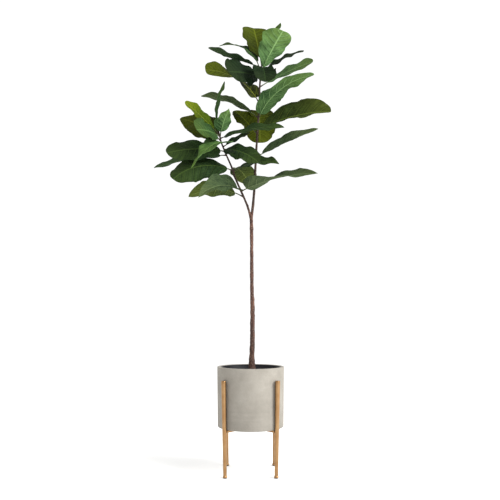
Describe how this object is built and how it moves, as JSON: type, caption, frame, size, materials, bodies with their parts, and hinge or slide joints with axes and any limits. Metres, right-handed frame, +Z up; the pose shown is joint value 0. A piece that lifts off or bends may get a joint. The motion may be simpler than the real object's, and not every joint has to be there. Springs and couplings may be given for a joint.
{
  "type": "potted fiddle leaf fig",
  "caption": "Tall forked fiddle leaf fig with large waved leaves, in a lined round concrete planter held above the floor by a slim gilt metal stand.",
  "frame": {"origin": "on the floor, under the middle of the whole plant's box", "axes": "+Z up the trunk, -Y towards the front, +X to the right seen from the front; the pot's axis is at x 47 mm, y 12 mm"},
  "size_m": [0.8478, 0.5153, 2.1883],
  "materials": {
    "bark": "knobbly matt bark",
    "bud": "smooth satin bud sheath",
    "leaf_dark": "waxy deep green leaf",
    "leaf_pale": "matt pale green leaf",
    "leaf_olive": "waxy olive leaf",
    "concrete": "cast and sanded, matt",
    "liner_plastic": "moulded black",
    "soil": "loose dark compost",
    "gilt_metal": "satin gilt plating",
    "pad_rubber": "moulded black"
  },
  "bodies": {
    "root": {"woody_stem": "bark", "bud_sheath": "bud", "leaf_crown_back": "leaf_olive", "leaf_crown_front": "leaf_pale", "leaf_crown_spike": "leaf_dark", "leaf_crown_left": "leaf_dark", "leaf_dark_right": "leaf_dark", "leaf_upper_left_long": "leaf_dark", "leaf_broad_left": "leaf_dark", "leaf_dark_centre": "leaf_dark", "leaf_yellow_tip": "leaf_olive", "leaf_right_upper": "leaf_pale", "leaf_right_big": "leaf_pale", "leaf_grey_left": "leaf_pale", "leaf_behind_upper": "leaf_olive", "leaf_behind_hanging": "leaf_olive", "leaf_big_right": "leaf_dark", "leaf_narrow_right": "leaf_pale", "leaf_low_right": "leaf_pale", "leaf_spike": "leaf_dark", "leaf_yellow_up_left": "leaf_olive", "leaf_olive_left": "leaf_olive", "leaf_front_left": "leaf_dark", "leaf_light_front": "leaf_pale", "leaf_crossing": "leaf_dark", "leaf_thin_dark": "leaf_dark", "leaf_rounded_centre": "leaf_dark", "leaf_down_left": "leaf_dark", "leaf_rounded_left": "leaf_dark", "leaf_pointed_left": "leaf_dark", "leaf_pointed_centre": "leaf_dark", "leaf_between": "leaf_dark", "leaf_low_left": "leaf_dark", "leaf_front_low": "leaf_dark", "leaf_under_left": "leaf_olive", "pot": "concrete", "liner": "liner_plastic", "soil": "soil", "stand_leg_back_right": "gilt_metal", "stand_leg_back_left": "gilt_metal", "stand_leg_front_left": "gilt_metal", "stand_leg_front_right": "gilt_metal", "stand_bar_rising": "gilt_metal", "stand_bar_falling": "gilt_metal", "foot_pad_back_right": "pad_rubber", "foot_pad_back_left": "pad_rubber", "foot_pad_front_left": "pad_rubber", "foot_pad_front_right": "pad_rubber"}
  },
  "joints": []
}
